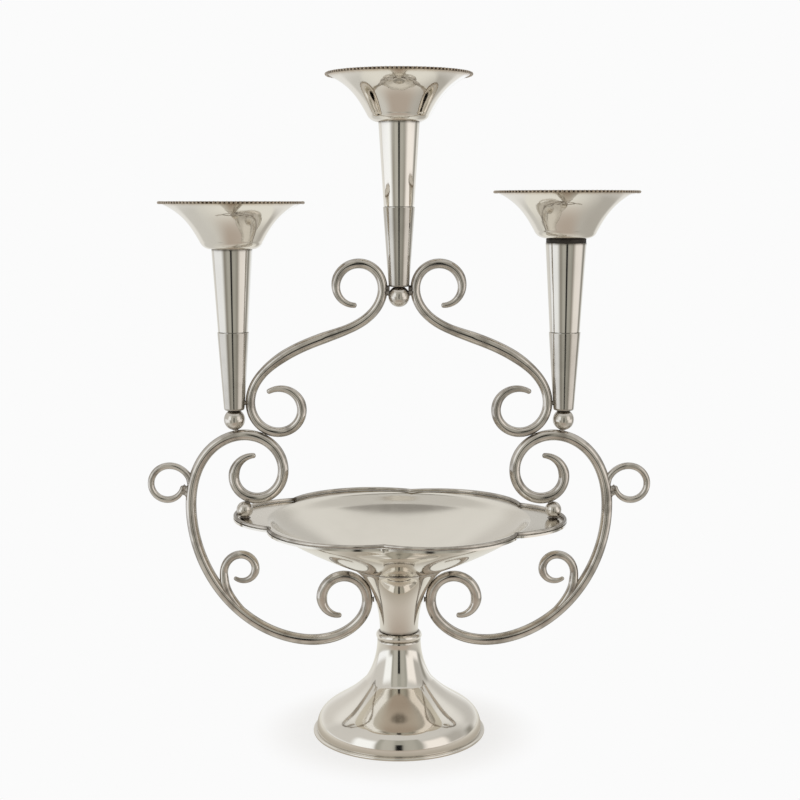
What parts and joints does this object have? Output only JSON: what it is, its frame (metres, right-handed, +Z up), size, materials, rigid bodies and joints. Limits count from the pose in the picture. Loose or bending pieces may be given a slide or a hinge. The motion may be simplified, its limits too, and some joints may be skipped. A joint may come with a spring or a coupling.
{
  "type": "epergne",
  "caption": "Table centrepiece with a lobed bowl on a trumpet foot, scrolled wire arms and lift-out trumpet flower vases.",
  "frame": {"origin": "middle of the foot's underside, on the surface that it stands on", "axes": "+Z up along the stem, +X along the arms to the right-hand vase as seen from the front, +Y away from the front"},
  "size_m": [0.2912, 0.1672, 0.3816],
  "materials": {
    "silver_plate": "polished, lightly tarnished",
    "dish_plate": "polished with fine wear",
    "inner_plate": "dull, unplated",
    "packing": "dark, tarnished"
  },
  "bodies": {
    "frame": {"foot": "silver_plate", "foot_rim_ring": "silver_plate", "foot_end_disc": "inner_plate", "collar": "silver_plate", "stem": "silver_plate", "stem_end_disc": "inner_plate", "tie_stud": "inner_plate", "tie_washer": "inner_plate", "tie_nut": "inner_plate", "dish": "dish_plate", "dish_rim_wire": "silver_plate", "left_dish_ball": "silver_plate", "right_dish_ball": "silver_plate", "left_arm_scroll": "silver_plate", "right_arm_scroll": "silver_plate", "left_finger_loop": "silver_plate", "right_finger_loop": "silver_plate", "left_inner_scroll": "silver_plate", "right_inner_scroll": "silver_plate", "left_socket_ball": "silver_plate", "right_socket_ball": "silver_plate", "top_socket_ball": "silver_plate", "left_socket": "silver_plate", "right_socket": "silver_plate", "top_socket": "silver_plate", "left_arch_scroll": "silver_plate", "right_arch_scroll": "silver_plate"},
    "left_trumpet": {"left_trumpet_tube": "silver_plate", "left_trumpet_floor": "inner_plate", "left_trumpet_mouth": "silver_plate", "left_trumpet_rim": "silver_plate"},
    "right_trumpet": {"right_trumpet_tube": "silver_plate", "right_trumpet_floor": "inner_plate", "right_neck_band": "packing", "right_trumpet_mouth": "silver_plate", "right_trumpet_rim": "silver_plate"},
    "top_trumpet": {"top_trumpet_tube": "silver_plate", "top_trumpet_floor": "inner_plate", "top_trumpet_mouth": "silver_plate", "top_trumpet_rim": "silver_plate"}
  },
  "joints": [
    {"name": "left_trumpet_lift", "type": "slide", "parent": "frame", "child": "left_trumpet", "axis": [0, 0, 1], "range_m": [0, 0.06]},
    {"name": "right_trumpet_lift", "type": "slide", "parent": "frame", "child": "right_trumpet", "axis": [0, 0, 1], "range_m": [0, 0.06]},
    {"name": "top_trumpet_lift", "type": "slide", "parent": "frame", "child": "top_trumpet", "axis": [0, 0, 1], "range_m": [0, 0.06]}
  ]
}
